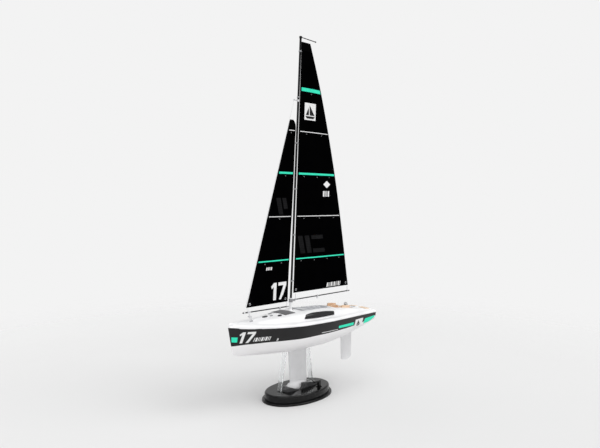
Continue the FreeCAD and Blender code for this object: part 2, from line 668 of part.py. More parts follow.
# ---------------------------------------------------------------- on deck
def slide_hatch():
    """Lift-off hatch lying in the coachroof's slide well."""
    floor_fore = Vector(2.0, -11.4, well_floor(2.0))
    floor_aft = Vector(-56.0, -11.4, well_floor(-56.0))
    rise = Vector(0, 0, 1.2)
    plate = polygon_prism([floor_fore, floor_aft, floor_aft + rise, floor_fore + rise], Vector(0, 22.8, 0))
    ribs = []
    for x in (-46.0, -36.0, -26.0, -16.0):
        low = well_floor(x) + 0.9
        ribs.append(box(x - 0.9, x + 0.9, -8.5, 8.5, low, low + 1.0))
    lip = box(-55.0, -53.0, -6.0, 6.0, well_floor(-54.0) + 0.9, well_floor(-54.0) + 3.2)
    return fused([plate, lip] + ribs)


def well_floor(x):
    """Height of the slide well's sloping floor."""
    return 123.2 + (117.2 - 123.2) * (6.0 - x) / 64.0


def cockpit_sole():
    """Teak floor of the cockpit."""
    slab = box(-106.4, -61.6, -14.4, 14.4, 111.8, 112.8)
    corners = [e for e in slab.Edges if abs(e.tangentAt(e.FirstParameter).z) > 0.99]
    return slab.makeFillet(3.6, corners)


def cockpit_seats():
    """Two side benches in the cockpit, each with a coaming that falls towards the stern."""
    bench = box(-95.0, -65.0, 8.4, 13.6, 112.8, 116.2)
    bench = bench.makeFillet(0.8, [e for e in bench.Edges if e.BoundBox.ZMin > 116.0])
    outline = [(-95.0, 112.8), (-77.0, 112.8), (-77.0, 119.8), (-80.0, 120.4), (-95.0, 118.4)]
    coaming = polygon_prism([Vector(x, 13.2, z) for x, z in outline], Vector(0, 1.5, 0))
    port = bench.fuse(coaming).removeSplitter()
    return Part.makeCompound([port, mirrored(port)])


def helm(x=-101.5):
    """Pedestal with a small wheel of five spokes, facing aft."""
    foot = upright(x, 0, 112.8, 113.6, 2.4)
    post = upright(x, 0, 113.6, 116.6, 1.1)
    centre = Vector(x - 1.6, 0, 117.0)
    rim = Part.makeTorus(3.2, 0.45, centre, Vector(1, 0, 0))
    hub = rod(centre + Vector(2.6, 0, 0), centre - Vector(0.8, 0, 0), 1.0)
    spokes = []
    for k in range(5):
        angle = 2 * math.pi * k / 5 + math.pi / 2
        spokes.append(rod(centre, centre + Vector(0, 3.2 * math.cos(angle), 3.2 * math.sin(angle)), 0.3))
    return fused([foot, post, hub, rim] + spokes)


# ---------------------------------------------------------------- stand
def stand_base():
    """Black foot: a flange and a raised table, hollow below with cross ribs and a middle boss."""
    flange = oval_prism(BASE_X, BASE_Y, 0, FLANGE, BASE_ROUND)
    flange = flange.makeFillet(1.2, [e for e in flange.Edges if e.BoundBox.ZMin > FLANGE - 0.1])
    table = oval_prism(BASE_X - TABLE_INSET, BASE_Y - TABLE_INSET, 1.0, BASE_TOP, BASE_ROUND)
    table = table.makeFillet(2.2, [e for e in table.Edges if e.BoundBox.ZMin > BASE_TOP - 0.1])
    inset = TABLE_INSET + TABLE_WALL
    hollow = oval_prism(BASE_X - inset, BASE_Y - inset, -1.0, BASE_TOP - 2.0, BASE_ROUND)
    ribs = [box(-BASE_X + 7.5, BASE_X - 7.5, -1.0, 1.0, 0, BASE_TOP - 1.0),
            box(-1.0, 1.0, -BASE_Y + 7.5, BASE_Y - 7.5, 0, BASE_TOP - 1.0),
            oval_prism(40.0, 15.5, 0, BASE_TOP - 1.0, 2.6)]
    foot = fused([flange.fuse(table).cut(hollow)] + ribs)
    foot = foot.cut(cup_block())
    for post in (front_post(), rear_post()):
        foot = foot.cut(post)
    return foot


def cup_block():
    """Long oval block that the keel cup is cut from."""
    return oval_prism(33.0, 11.5, CUP_FLOOR, 30.0, 4.0, -3.0)


def cup_form():
    """Outer form of the keel cup: the block under a long aft saddle, a notch and a low fore wing."""
    block = cup_block()
    saddle = [(-40, 12.9), (-33, 13.6), (-26, 15.2), (-20, 17.0), (-14, 18.7), (-6, 20.0), (2.2, 20.3)]
    notch = [(2.2, 20.3), (0.6, 16.2), (2.6, 13.2), (9, 13.3), (16, 15.2), (23, 17.8), (27, 16.8), (31, 14.0),
             (40, 13.4)]
    aft, fore = [[Vector(x, -20, z) for x, z in part] for part in (saddle, notch)]
    edge = Part.Wire([spline(aft), spline(fore), Part.makeLine(fore[-1], Vector(40, -20, 0)),
                      Part.makeLine(Vector(40, -20, 0), Vector(-40, -20, 0)),
                      Part.makeLine(Vector(-40, -20, 0), aft[0])])
    return block.common(Part.Face(edge).extrude(Vector(0, 40, 0)))


def keel_cup():
    """Cup the ballast bulb drops into."""
    slack = 0.5
    low = BULB_Z
    tunnel = rod(Vector(BULB_TAIL - slack, 0, low), Vector(BULB_NOSE + slack, 0, low), BULB_RADIUS + slack)
    mouth = box(BULB_TAIL - slack, BULB_NOSE + slack, -BULB_RADIUS - slack, BULB_RADIUS + slack, low, 40)
    return cup_form().cut(tunnel).cut(mouth).cut(rear_post())


def leaning_post(x_low, x_high, side):
    """Clear leaning post, from the base's socket to just under the hull."""
    foot_z = BASE_TOP - 2.0
    lean = (x_high - x_low) / (65.0 - BASE_TOP)
    inner = -side * POST_THICK
    points = []
    for x, z in ((0, foot_z), (0, 90.0), (inner, 90.0), (inner, foot_z)):
        points.append(Vector(x_low + lean * (z - BASE_TOP) + x, -POST_WIDTH / 2, z))
    return polygon_prism(points, Vector(0, POST_WIDTH, 0))


def front_post():
    return leaning_post(35.5, 26.5, 1)


def rear_post():
    return leaning_post(-28.5, -21.4, -1)


def stand_hook():
    """Small upright hook on the base, its lip towards the bow."""
    x, y = -21.6, 21.0
    low, high = BASE_TOP + 6.6, BASE_TOP + 9.2
    foot = box(x - 3.4, x + 3.4, y - 2.6, y + 2.6, BASE_TOP, BASE_TOP + 1.0)
    stem = box(x - 2.2, x + 1.6, y - 1.7, y + 1.7, BASE_TOP + 0.5, high - 0.4)
    outline = [(x - 2.2, low), (x + 10.0, low + 1.0), (x + 10.0, high + 0.2), (x + 1.0, high),
               (x - 2.2, high)]
    lip = polygon_prism([Vector(px, y - 1.7, pz) for px, pz in outline], Vector(0, 3.4, 0))
    return fused([foot, stem, lip])


# ---------------------------------------------------------------- the whole boat
def build_hull():
    """Hull, deck and what is fixed to them."""
    hull_outer = hull_solid()
    hull_inner = hull_solid(SHELL, 1.0)
    deck_form = deck_solid()
    under = deck_solid(SHELL, 1.6).cut(recess_tool(SHELL)).cut(cockpit_tool(SHELL))
    mast_hole = on_mast(Part.makeCylinder(COLLAR_RADIUS, 14.0, Vector(0, 0, -6.0)))
    hatchway = box(-50.0, -6.0, -9.0, 9.0, 100.0, 140.0)
    deck = deck_form.cut(hull_outer).cut(recess_tool()).cut(cockpit_tool()).cut(under)
    deck = max(deck.Solids, key=lambda solid: solid.Volume)
    deck = deck.cut(mast_hole).cut(hatchway)
    hull = hull_outer.cut(hull_inner).cut(upright(0.5, 0, 60, 80, 1.5))
    hull = hull.cut(upright(RUDDER_X, 0, 70, 90, 2.2))
    save("hull_shell", hull)
    save("deck_shell", deck)
    port = cabin_window(deck_form)
    save("window_port", port)
    save("window_starboard", mirrored(port))
    panel = layer_on(deck_form, box(18.6, 36.4, -14.6, 14.6, 100, 140), 0.7)
    save("roof_vent_panel", panel)
    save("deck_eye", deck_eye(deck_form))
    dark = [oval_prism(4.2, 2.6, 100, 140, 2.0, 61.0, 0.0), oval_prism(3.2, 2.2, 100, 140, 2.0, 43.5, 10.5),
            oval_prism(2.6, 2.2, 100, 140, 2.0, 8.4, -4.5)]
    save("deck_caps_dark", Part.makeCompound([layer_on(deck_form, form, 0.9) for form in dark]))
    pale = [oval_prism(2.8, 1.8, 100, 140, 2.0, 44.0, -9.0), oval_prism(2.4, 1.5, 100, 140, 2.0, 52.0, 3.0),
            oval_prism(4.0, 2.6, 100, 140, 2.0, -121.6, -1.0)]
    save("deck_caps_grey", Part.makeCompound([layer_on(deck_form, form, 0.8) for form in pale]))
    pads = [layer_on(deck_form, box(-137.0, -127.0, y, y + 14.0, 100, 140), 0.6) for y in (-19.0, 5.0)]
    save("aft_teak_panel", Part.makeCompound(pads))
    save("cockpit_sole", cockpit_sole())
    save("cockpit_seats", cockpit_seats())
    save("helm_wheel", helm())
    save("mast_collar", mast_collar(deck_form))
    save("mast_step", mast_step().common(hull_inner))
    save("mast", mast_tube())
    save("hound_fitting", hound_fitting())
    save("masthead_crane", masthead_crane())
    fin = keel_fin().cut(hull_outer)
    save("keel_fin", fin.cut(keel_stud()))
    save("ballast_bulb", ballast_bulb().cut(keel_fin()))
    save("keel_stud", keel_stud())
    save("keel_nut", keel_nut(hull_inner))
    save("rudder_tube", rudder_tube(hull_outer))
    save("servo_tray", servo_tray())
    save("tray_posts", tray_posts(hull_inner))
    save("tray_screws", tray_screws())
    save("rudder_servo", servo(*RUDDER_SERVO))
    save("sail_servo", servo(*SAIL_SERVO))
    save("servo_screws", servo_screws())
    save("battery_holder", battery_holder().common(hull_inner))
    save("battery_cells", battery_cells())
    save("receiver_board", receiver_board())
    save("switch_body", switch_body())
    return hull_outer


def build_moving():
    """Rudder gear, sail servo arm, hatch and switch knob."""
    save("rudder_blade", rudder_blade())
    save("rudder_stock", rudder_stock())
    save("tiller", tiller())
    save("rudder_servo_arm", servo_arm(RUDDER_SERVO_X, TILLER_Z, LINK_ARM, 1, 1.8))
    save("rudder_pushrod", pushrod())
    save("sail_servo_arm", servo_arm(SAIL_SERVO_X, SAIL_ARM_Z, 21.0, -1, 2.0))
    save("switch_slider", switch_slider())
    save("slide_hatch", slide_hatch())


def build_rig():
    """Both sails with their booms."""
    main = (MAIN_BOOM_FORE, MAIN_BOOM_AFT)
    jib = (JIB_BOOM_FORE, JIB_BOOM_AFT)
    save("gooseneck", gooseneck())
    save("main_boom", rounded_rod(main[0], main[1], BOOM_RADIUS))
    panel = main_sail()
    ties = boom_ties(main, (Vector(4.2, 0, 145.4), Vector(-106.0, 0, 145.6)))
    save("main_sail", panel)
    save("mast_rings", mast_rings().cut(panel))
    save("main_ties", ties.cut(panel))
    save("main_sheet_eye", sheet_eye(main, -40.0))
    save("jib_boom", rounded_rod(jib[0], jib[1], BOOM_RADIUS))
    save("jib_sail", jib_sail())
    save("forestay", forestay())
    save("jib_ties", boom_ties(jib, (Vector(90.2, 0, 135.0), Vector(21.0, 0, 135.6))))
    save("jib_sheet_eye", sheet_eye(jib, 34.0))
    save("jib_swivel", jib_swivel())


def build_stand(hull_outer):
    """Foot, cup, clear posts and hook."""
    save("stand_base", stand_base())
    save("keel_cup", keel_cup())
    clear = hull_outer.copy()
    clear.translate(Vector(0, 0, -BODY_GAP))
    save("front_post", front_post().cut(clear).common(box(0, 60, -10, 10, 0, 72)))
    save("rear_post", rear_post().cut(clear).common(box(-60, 0, -10, 10, 0, 72)))
    save("stand_hook", stand_hook())


build_stand(build_hull())
build_moving()
build_rig()
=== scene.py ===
"""Looks of the small sailing yacht on its stand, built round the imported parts, in metres."""
import bisect
import math

import bmesh
import bpy
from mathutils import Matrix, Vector, noise
from mathutils.bvhtree import BVHTree


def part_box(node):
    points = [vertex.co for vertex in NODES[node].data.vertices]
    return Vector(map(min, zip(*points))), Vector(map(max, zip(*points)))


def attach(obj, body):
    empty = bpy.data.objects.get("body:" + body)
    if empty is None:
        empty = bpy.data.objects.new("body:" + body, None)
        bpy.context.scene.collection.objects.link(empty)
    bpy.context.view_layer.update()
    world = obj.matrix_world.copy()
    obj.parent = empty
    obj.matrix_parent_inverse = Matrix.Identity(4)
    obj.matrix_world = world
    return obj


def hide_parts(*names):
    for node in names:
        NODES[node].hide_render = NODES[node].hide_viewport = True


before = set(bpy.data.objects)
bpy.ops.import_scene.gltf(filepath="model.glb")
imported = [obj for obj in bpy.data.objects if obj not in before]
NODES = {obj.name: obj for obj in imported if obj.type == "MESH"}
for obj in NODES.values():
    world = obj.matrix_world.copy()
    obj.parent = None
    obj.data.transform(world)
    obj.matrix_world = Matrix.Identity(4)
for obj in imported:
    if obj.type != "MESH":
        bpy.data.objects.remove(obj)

MM = 0.001
CLOTH = 0.22 * MM           # thickness of the visible sail cloth
FLOOR_NEAR, FLOOR_FAR = 0.35, 1.0   # where the floor starts and ends its fade into the backdrop
FLOOR_RADIUS = 1.05
FLOOR_SIDES = 64
SKY_LOW, SKY_HIGH = 1.0, 0.30
KEY, FILL, TOP = 0.65, 0.50, 1.60
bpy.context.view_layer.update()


# ---------------------------------------------------------------- small helpers
def link(obj):
    bpy.context.scene.collection.objects.link(obj)
    return obj


def mesh_object(name, points, faces, material, smooth=True):
    data = bpy.data.meshes.new(name)
    data.from_pydata([tuple(p) for p in points], [], faces)
    data.validate()
    obj = link(bpy.data.objects.new(name, data))
    data.materials.append(material)
    if smooth:
        for polygon in data.polygons:
            polygon.use_smooth = True
    return obj


def outline_at(node, height, eps=1e-6):
    """Fore and aft X of a flat panel's outline at one height, read from its mesh."""
    data = NODES[node].data
    found = []
    for edge in data.edges:
        a, b = (data.vertices[i].co for i in edge.vertices)
        if (a.z - height) * (b.z - height) < 0:
            found.append(a.x + (b.x - a.x) * (height - a.z) / (b.z - a.z))
        elif abs(a.z - height) < eps:
            found.append(a.x)
    return max(found), min(found)


def tree_of(node):
    data = NODES[node].data
    points = [v.co.copy() for v in data.vertices]
    return BVHTree.FromPolygons(points, [tuple(p.vertices) for p in data.polygons])


# ---------------------------------------------------------------- node materials
class Shader:
    """A principled material, with short calls for the nodes that feed it."""

    def __init__(self, name, colour, rough, specular=0.5, metal=0.0, coat=0.0, coat_rough=0.1):
        self.material = bpy.data.materials.new(name)
        self.material.use_nodes = True
        self.tree = self.material.node_tree
        self.bsdf = self.tree.nodes["Principled BSDF"]
        self.bsdf.inputs["Base Color"].default_value = (*colour[:3], 1)
        self.bsdf.inputs["Roughness"].default_value = rough
        self.bsdf.inputs["Metallic"].default_value = metal
        self.bsdf.inputs["Specular IOR Level"].default_value = specular
        self.bsdf.inputs["Coat Weight"].default_value = coat
        self.bsdf.inputs["Coat Roughness"].default_value = coat_rough
        self.place = self.node("ShaderNodeTexCoord").outputs["Object"]

    def node(self, kind, **values):
        made = self.tree.nodes.new(kind)
        for key, value in values.items():
            setattr(made, key, value)
        return made

    def join(self, source, target):
        self.tree.links.new(source, target)

    def stretched(self, scale):
        mapping = self.node("ShaderNodeMapping")
        mapping.inputs["Scale"].default_value = scale
        self.join(self.place, mapping.inputs["Vector"])
        return mapping.outputs["Vector"]

    def noise(self, scale, detail=4.0, stretch=(1, 1, 1)):
        made = self.node("ShaderNodeTexNoise")
        made.inputs["Scale"].default_value = scale
        made.inputs["Detail"].default_value = detail
        self.join(self.stretched(stretch), made.inputs["Vector"])
        return made.outputs["Fac"]

    def ramp(self, source, stops):
        made = self.node("ShaderNodeValToRGB")
        ramp = made.color_ramp
        while len(ramp.elements) < len(stops):
            ramp.elements.new(0.5)
        for element, (place, colour) in zip(ramp.elements, stops):
            element.position = place
            element.color = (*colour, 1) if len(colour) == 3 else colour
        self.join(source, made.inputs["Fac"])
        return made.outputs["Color"]

    def maths(self, kind, first, second=None):
        made = self.node("ShaderNodeMath", operation=kind)
        for index, value in enumerate((first, second)):
            if value is None:
                continue
            if isinstance(value, (int, float)):
                made.inputs[index].default_value = value
            else:
                self.join(value, made.inputs[index])
        return made.outputs["Value"]

    def mix(self, factor, first, second, kind="MIX"):
        made = self.node("ShaderNodeMix", data_type="RGBA", blend_type=kind)
        for index, value in ((0, factor), (6, first), (7, second)):
            if isinstance(value, (int, float)):
                made.inputs[index].default_value = value
            elif isinstance(value, tuple):
                made.inputs[index].default_value = (*value, 1)
            else:
                self.join(value, made.inputs[index])
        return made.outputs[2]

    def axes(self):
        split = self.node("ShaderNodeSeparateXYZ")
        self.join(self.place, split.inputs["Vector"])
        return split.outputs["X"], split.outputs["Y"], split.outputs["Z"]

    def colour(self, source):
        self.join(source, self.bsdf.inputs["Base Color"])

    def roughness(self, source):
        self.join(source, self.bsdf.inputs["Roughness"])

    def bump(self, source, strength=0.3, distance=0.0002):
        made = self.node("ShaderNodeBump")
        made.inputs["Strength"].default_value = strength
        made.inputs["Distance"].default_value = distance
        self.join(source, made.inputs["Height"])
        self.join(made.outputs["Normal"], self.bsdf.inputs["Normal"])


def moulded(name, colour, rough, specular=0.4, grain=2500, depth=0.00003, vary=0.06, coat=0.0):
    """Moulded plastic: faint mottling, uneven gloss and a fine surface grain."""
    shader = Shader(name, colour, rough, specular, coat=coat)
    low = tuple(c * (1 - vary) for c in colour)
    high = tuple(min(1.0, c * (1 + vary)) for c in colour)
    shader.colour(shader.ramp(shader.noise(35, 3), [(0.3, low), (0.7, high)]))
    smooth, matt = (rough * 0.85,) * 3, (rough * 1.15,) * 3
    shader.roughness(shader.ramp(shader.noise(120, 5), [(0.3, smooth), (0.7, matt)]))
    shader.bump(shader.noise(grain, 2), 0.35, depth)
    return shader.material


def metal(name, colour, rough, brushed=(1, 1, 14)):
    """Metal with fine drawn lines along one axis."""
    shader = Shader(name, colour, rough, 0.5, metal=1.0)
    lines = shader.noise(900, 3, brushed)
    shader.roughness(shader.ramp(lines, [(0.3, (rough * 0.7,) * 3), (0.7, (rough * 1.3,) * 3)]))
    shader.colour(shader.ramp(lines, [(0.2, tuple(c * 0.88 for c in colour)), (0.8, colour)]))
    shader.bump(lines, 0.15, 0.00002)
    return shader.material


def carbon(name, colour=(0.012, 0.012, 0.013)):
    """Carbon tube: a twill of fine bands under clear lacquer."""
    shader = Shader(name, colour, 0.42, 0.08, coat=0.05, coat_rough=0.2)
    waves = []
    for turn in (0.7854, -0.7854):
        wave = shader.node("ShaderNodeTexWave", wave_type="BANDS", bands_direction="X")
        wave.inputs["Scale"].default_value = 420
        mapping = shader.node("ShaderNodeMapping")
        mapping.inputs["Rotation"].default_value = (0, turn, 0)
        shader.join(shader.place, mapping.inputs["Vector"])
        shader.join(mapping.outputs["Vector"], wave.inputs["Vector"])
        waves.append(wave.outputs["Fac"])
    weave = shader.maths("MULTIPLY", waves[0], waves[1])
    low, high = (tuple(c * share for c in colour) for share in (0.5, 2.2))
    shader.colour(shader.ramp(weave, [(0.0, low), (1.0, high)]))
    shader.bump(weave, 0.25, 0.00003)
    return shader.material


def sail_film(name, colour=(0.0006, 0.0006, 0.0007)):
    """Black laminate film: a faint square scrim of threads and slight crinkle."""
    shader = Shader(name, colour, 0.6, 0.0)
    x, _, z = shader.axes()
    threads = None
    for axis in (x, z):
        turned = shader.maths("MULTIPLY", axis, math.pi / (2.5 * MM))
        line = shader.maths("ABSOLUTE", shader.maths("SINE", turned))
        sharp = shader.maths("POWER", line, 24.0)
        threads = sharp if threads is None else shader.maths("MAXIMUM", threads, sharp)
    cloud = shader.noise(60, 5)
    base = shader.ramp(cloud, [(0.3, tuple(c * 0.7 for c in colour)), (0.75, tuple(c * 1.5 for c in colour))])
    shader.colour(shader.mix(shader.maths("MULTIPLY", threads, 0.5), base, tuple(c * 3.0 for c in colour)))
    height = shader.maths("ADD", shader.maths("MULTIPLY", threads, 0.35), shader.noise(240, 6))
    shader.bump(height, 0.25, 0.00006)
    return shader.material


def tape(name, colour, rough=0.55):
    """Woven adhesive tape or printed film."""
    shader = Shader(name, colour, rough, 0.15)
    x, _, z = shader.axes()
    warp = shader.maths("SINE", shader.maths("MULTIPLY", x, math.pi / (0.35 * MM)))
    weft = shader.maths("SINE", shader.maths("MULTIPLY", z, math.pi / (0.35 * MM)))
    weave = shader.maths("MULTIPLY", warp, weft)
    low = tuple(c * 0.9 for c in colour)
    shader.colour(shader.ramp(shader.noise(80, 4), [(0.3, low), (0.7, colour)]))
    shader.bump(weave, 0.2, 0.00002)
    return shader.material


def teak(name, plank=2.6, light=(0.62, 0.36, 0.20), dark=(0.36, 0.18, 0.09)):
    """Teak planking laid fore and aft, with dark caulking between the planks."""
    shader = Shader(name, light, 0.5, 0.25)
    _, y, _ = shader.axes()
    steps = shader.maths("MULTIPLY", y, 1 / (plank * MM))
    across = shader.maths("FRACT", shader.maths("ADD", steps, 100.5))
    seam = shader.maths("LESS_THAN", across, 0.13)
    board = shader.maths("FLOOR", shader.maths("ADD", steps, 100.5))
    tone = shader.maths("FRACT", shader.maths("MULTIPLY", board, 0.371))
    grain = shader.noise(300, 6, (0.12, 1.6, 1.0))
    wood = shader.ramp(grain, [(0.25, dark), (0.55, light), (0.8, tuple(min(1, c * 1.25) for c in light))])
    toned = shader.mix(shader.maths("MULTIPLY", tone, 0.35), wood, dark)
    shader.colour(shader.mix(seam, toned, (0.025, 0.02, 0.018)))
    shader.bump(shader.maths("SUBTRACT", shader.maths("MULTIPLY", grain, 0.4), seam), 0.5, 0.0001)
    return shader.material


def clear_acrylic(name):
    shader = Shader(name, (0.93, 0.945, 0.95), 0.03, 0.5)
    shader.bsdf.inputs["Transmission Weight"].default_value = 0.96
    shader.bsdf.inputs["IOR"].default_value = 1.49
    shader.roughness(shader.ramp(shader.noise(200, 4), [(0.3, (0.02,) * 3), (0.8, (0.05,) * 3)]))
    shader.bump(shader.noise(60, 2), 0.01, 0.00002)
    return shader.material


def hull_paint(name, white=(0.86, 0.85, 0.86), band=(0.010, 0.0095, 0.010)):
    """Gloss white hull; the topsides carry a dark band whose lower edge sweeps up to the stern."""
    shader = Shader(name, white, 0.3, 0.3, coat=0.0)
    x, _, z = shader.axes()
    stern, bow = -0.140, 0.123
    place = shader.maths("DIVIDE", shader.maths("SUBTRACT", x, stern), bow - stern)
    curve = shader.node("ShaderNodeFloatCurve")
    points = curve.mapping.curves[0].points
    low, high = 80.0, 105.0
    keys = ((-140, 99.6), (-128, 98.0), (-109, 95.0), (-74, 92.8), (-26, 92.2), (30, 91.9), (81, 91.6),
            (111, 90.4), (123, 89.2))
    values = [((px * MM - stern) / (bow - stern), (pz - low) / (high - low)) for px, pz in keys]
    points[0].location, points[1].location = values[0], values[-1]
    for value in values[1:-1]:
        points.new(*value)
    curve.mapping.update()
    shader.join(place, curve.inputs["Value"])
    edge = shader.maths("ADD", shader.maths("MULTIPLY", curve.outputs["Value"], (high - low) * MM), low * MM)
    above = shader.maths("GREATER_THAN", z, edge)
    sides = shader.maths("GREATER_THAN", x, -0.1386)
    mask = shader.maths("MULTIPLY", above, sides)
    cloud = shader.noise(30, 4)
    pale = shader.ramp(cloud, [(0.3, tuple(c * 0.97 for c in white)), (0.7, white)])
    dark = shader.ramp(cloud, [(0.3, tuple(c * 0.85 for c in band)), (0.7, tuple(c * 1.2 for c in band))])
    shader.colour(shader.mix(mask, pale, dark))
    shader.bump(shader.noise(1400, 2), 0.15, 0.00003)
    return shader.material


def vent_grid(name, colour=(0.05, 0.05, 0.052), pitch=2.2):
    """Dark ribbed panel: a grid of raised bars, with painted shade darkening the recessed cells between them.
    """
    shader = Shader(name, colour, 0.5, 0.3)
    x, y, _ = shader.axes()
    bars = None
    for axis, size in ((x, pitch), (y, pitch * 1.6)):
        steps = shader.maths("MULTIPLY", axis, 1 / (size * MM))
        cell = shader.maths("FRACT", shader.maths("ADD", steps, 50.0))
        bar = shader.maths("LESS_THAN", cell, 0.3)
        bars = bar if bars is None else shader.maths("MAXIMUM", bars, bar)
    # painted shade: the recessed cells between the bars are coloured darker than the raised bars
    shader.colour(shader.mix(bars, tuple(c * 0.45 for c in colour), tuple(c * 1.9 for c in colour)))
    shader.bump(bars, 0.6, 0.0002)
    return shader.material


GREEN = (0.042, 0.84, 0.54)
M = {
    "hull": hull_paint("hull_paint"),
    "deck": moulded("deck_white", (0.90, 0.90, 0.91), 0.38, 0.3),
    "hatch": moulded("hatch_grey", (0.50, 0.51, 0.53), 0.35, 0.35),
    "fin": moulded("fin_white", (0.74, 0.74, 0.75), 0.35, 0.35, coat=0.1),
    "black": moulded("stand_black", (0.003, 0.003, 0.0033), 0.16, 0.25, grain=1800, depth=0.00002, vary=0.15),
    "cup": moulded("cup_black", (0.060, 0.060, 0.062), 0.26, 0.5, grain=1800, depth=0.00002, vary=0.1),
    "window": moulded("window_black", (0.006, 0.006, 0.007), 0.16, 0.35, vary=0.2, coat=0.3),
    "vent": vent_grid("vent_dark", (0.11, 0.11, 0.115)),
    "cap_dark": moulded("cap_dark", (0.03, 0.03, 0.032), 0.5, 0.3, vary=0.15),
    "cap_grey": moulded("cap_grey", (0.32, 0.33, 0.34), 0.45, 0.35),
    "teak": teak("teak", 2.6, (0.88, 0.64, 0.45), (0.60, 0.38, 0.24)),
    "teak_pale": teak("teak_pale", 2.6, (0.92, 0.72, 0.54), (0.66, 0.46, 0.32)),
    "carbon": carbon("carbon_tube"),
    "boom": carbon("boom_tube", (0.05, 0.05, 0.052)),
    "steel": metal("steel_wire", (0.70, 0.70, 0.72), 0.25),
    "stay": tape("stay_pale", (0.78, 0.78, 0.79)),
    "zinc": metal("zinc_steel", (0.60, 0.60, 0.62), 0.35),
    "brass": metal("brass_tube", (0.78, 0.58, 0.28), 0.3),
    "clear": clear_acrylic("clear_acrylic"),
    "sail": sail_film("sail_film"),
    "ghost": sail_film("sail_ghost", (0.0085, 0.0085, 0.009)),
    "hem": sail_film("sail_hem", (0.0014, 0.0014, 0.0015)),
    "ink": tape("print_black", (0.012, 0.012, 0.013)),
    "green": tape("tape_green", GREEN),
    "white": tape("tape_white", (0.86, 0.86, 0.86)),
    "grey": tape("print_grey", (0.30, 0.30, 0.30)),
    "nylon": moulded("nylon_white", (0.82, 0.82, 0.80), 0.45, 0.35),
    "rig_black": moulded("rig_black", (0.30, 0.30, 0.31), 0.45, 0.3, vary=0.1),
    "tray": moulded("tray_grey", (0.22, 0.22, 0.23), 0.5, 0.35),
    "servo": moulded("servo_case", (0.02, 0.04, 0.12), 0.3, 0.45, coat=0.2),
    "cell": moulded("cell_wrap", (0.03, 0.26, 0.19), 0.3, 0.45, coat=0.3),
    "board": moulded("board_green", (0.02, 0.20, 0.10), 0.4, 0.4, grain=900),
}

NODE_LOOK = {
    "hull": ["hull_shell"],
    "deck": ["deck_shell", "mast_collar"],
    "hatch": ["slide_hatch"],
    "fin": ["keel_fin", "ballast_bulb", "rudder_blade"],
    "black": ["stand_base", "stand_hook"],
    "cup": ["keel_cup"],
    "clear": ["front_post", "rear_post"],
    "window": ["window_port", "window_starboard"],
    "vent": ["roof_vent_panel"],
    "cap_dark": ["deck_caps_dark", "switch_body", "switch_slider"],
    "cap_grey": ["deck_caps_grey", "helm_wheel"],
    "teak": ["cockpit_sole", "cockpit_seats"],
    "teak_pale": ["aft_teak_panel"],
    "carbon": ["mast", "masthead_crane"],
    "boom": ["main_boom", "jib_boom"],
    "stay": ["forestay"],
    "steel": ["deck_eye", "hound_fitting", "main_ties", "jib_ties", "jib_swivel", "main_sheet_eye",
              "jib_sheet_eye"],
    "rig_black": ["gooseneck", "mast_rings"],
    "zinc": ["keel_stud", "keel_nut", "rudder_stock", "rudder_pushrod", "tray_screws", "servo_screws"],
    "brass": ["rudder_tube"],
    "servo": ["rudder_servo", "sail_servo"],
    "nylon": ["rudder_servo_arm", "sail_servo_arm", "tiller", "mast_step"],
    "tray": ["servo_tray", "tray_posts", "battery_holder"],
    "cell": ["battery_cells"],
    "board": ["receiver_board"],
}


def dress_nodes():
    """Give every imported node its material."""
    for look, names in NODE_LOOK.items():
        for name in names:
            data = NODES[name].data
            data.materials.clear()
            data.materials.append(M[look])


# ---------------------------------------------------------------- sails
class Sail:
    """A sail's surface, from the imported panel's outline, with a little belly to one side."""

    def __init__(self, node, body, belly):
        self.node, self.body, self.belly = node, body, belly
        low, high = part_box(node)
        self.low, self.high = low.z, high.z
        self.rows = 96
        self.heights, self.fore, self.aft = [], [], []
        for row in range(self.rows + 1):
            part = row / self.rows
            height = self.low + (self.high - self.low) * (0.004 + 0.992 * part)
            fore, aft = outline_at(node, height)
            self.heights.append(height)
            self.fore.append(fore)
            self.aft.append(aft)

    def span(self, z):
        """Fore and aft X at a height, between the stored rows."""
        z = min(max(z, self.heights[0]), self.heights[-1])
        row = min(max(bisect.bisect(self.heights, z) - 1, 0), self.rows - 1)
        part = (z - self.heights[row]) / (self.heights[row + 1] - self.heights[row])
        return (self.fore[row] + part * (self.fore[row + 1] - self.fore[row]),
                self.aft[row] + part * (self.aft[row + 1] - self.aft[row]))

    def offset(self, x, z):
        """Sideways place of the cloth: belly, and a slight ripple that fades out towards luff and leech."""
        fore, aft = self.span(z)
        across = min(max((fore - x) / max(fore - aft, 1e-6), 0), 1)
        up = (z - self.low) / (self.high - self.low)
        rise = math.sin(math.pi * min(up * 0.93 + 0.05, 1)) ** 0.7
        belly = self.belly * math.sin(math.pi * across ** 0.8) * rise
        ripple = noise.noise(Vector((x * 30, z * 14, self.belly * 400)))
        edge = min(across, 1 - across) * 4
        return belly + 0.25 * MM * ripple * min(edge, 1)

    def at(self, x, z, side, proud):
        return Vector((x, self.offset(x, z) + side * proud, z))


def sail_cloth(sail, name, thick=CLOTH, columns=28):
    """The sail as one closed sheet on a grid."""
    points, faces = [], []
    stride = columns + 1
    for side in (1, -1):
        for height, fore, aft in zip(sail.heights, sail.fore, sail.aft):
            for column in range(stride):
                x = fore + (aft - fore) * column / columns
                points.append(sail.at(x, height, side, thick / 2))
    layer = stride * len(sail.heights)
    rows = len(sail.heights) - 1
    for row in range(rows):
        for column in range(columns):
            a = row * stride + column
            faces.append((a, a + 1, a + stride + 1, a + stride))
            faces.append((layer + a, layer + a + stride, layer + a + stride + 1, layer + a + 1))
        for column in (0, columns):
            a = row * stride + column
            quad = (a, a + stride, layer + a + stride, layer + a)
            faces.append(quad if column == 0 else quad[::-1])
    for column in range(columns):
        for row in (0, rows):
            a = row * stride + column
            quad = (a, layer + a, layer + a + 1, a + 1)
            faces.append(quad if row == 0 else quad[::-1])
    return mesh_object(name, points, faces, M["sail"])


